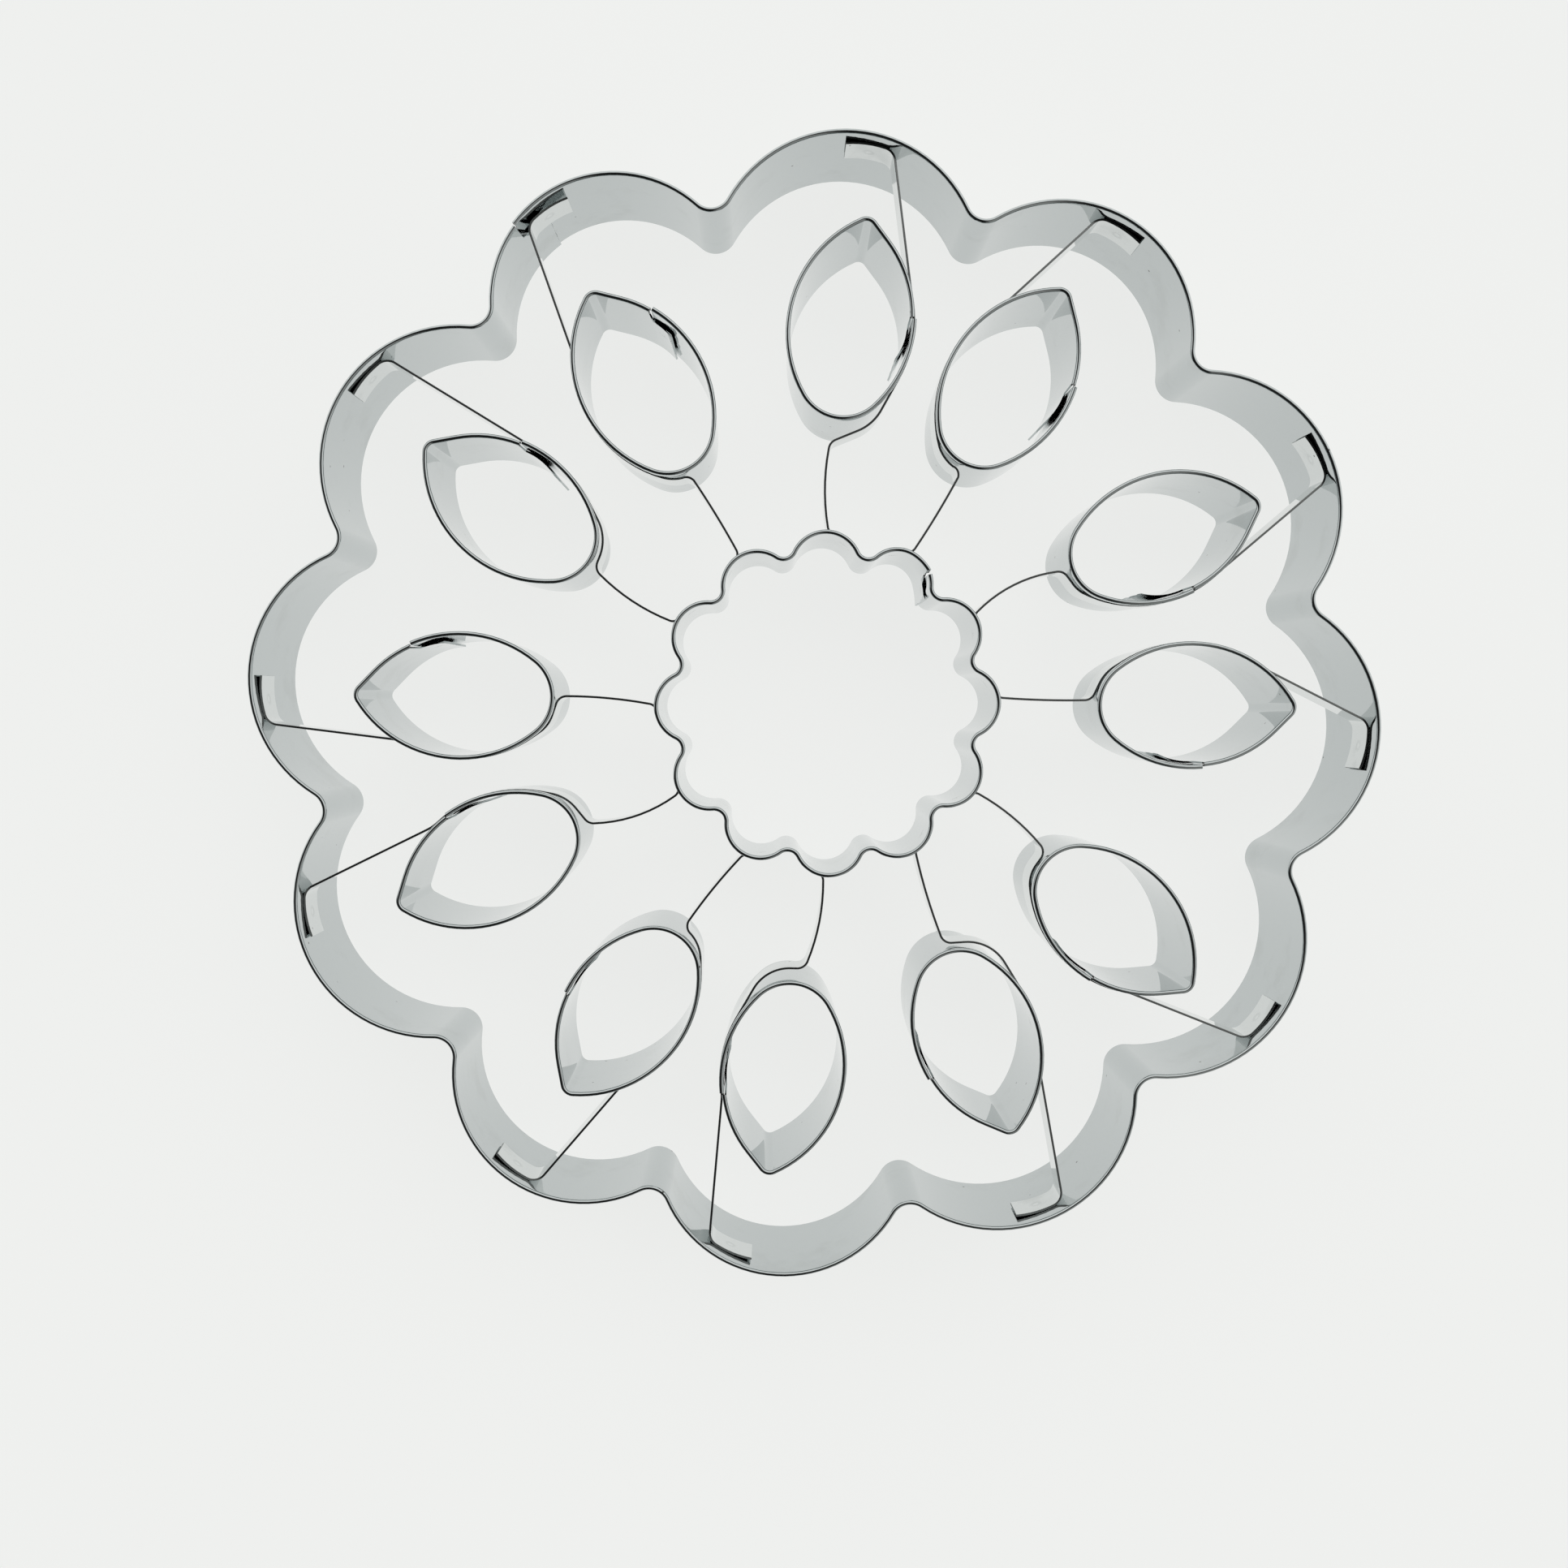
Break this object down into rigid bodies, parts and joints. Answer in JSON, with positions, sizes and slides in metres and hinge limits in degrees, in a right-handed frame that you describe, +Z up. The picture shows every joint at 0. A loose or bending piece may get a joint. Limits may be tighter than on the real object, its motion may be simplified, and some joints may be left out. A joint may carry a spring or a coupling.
{
  "type": "cookie cutter",
  "caption": "Large flower-shaped cutter bent from thin bright steel strip: a lobed outer band, leaf-shaped petal rings and a scalloped centre ring held by thin struts.",
  "frame": {"origin": "centre of the flower's bounding box, in the plane of the cutting edges", "axes": "+Z up from the cutting edges to the folded rims, +Y towards the crest of the first lobe"},
  "size_m": [0.1998, 0.2022, 0.025],
  "materials": {
    "steel": "bright, mirror-like thin stainless strip"
  },
  "bodies": {
    "root": {"outer_band": "steel", "petal_01": "steel", "petal_02": "steel", "petal_03": "steel", "petal_04": "steel", "petal_05": "steel", "petal_06": "steel", "petal_07": "steel", "petal_08": "steel", "petal_09": "steel", "petal_10": "steel", "petal_11": "steel", "petal_12": "steel", "centre_band": "steel", "strut_01": "steel", "strut_02": "steel", "strut_03": "steel", "strut_04": "steel", "strut_05": "steel", "strut_06": "steel", "strut_07": "steel", "strut_08": "steel", "strut_09": "steel", "strut_10": "steel", "strut_11": "steel", "strut_12": "steel"}
  },
  "joints": []
}
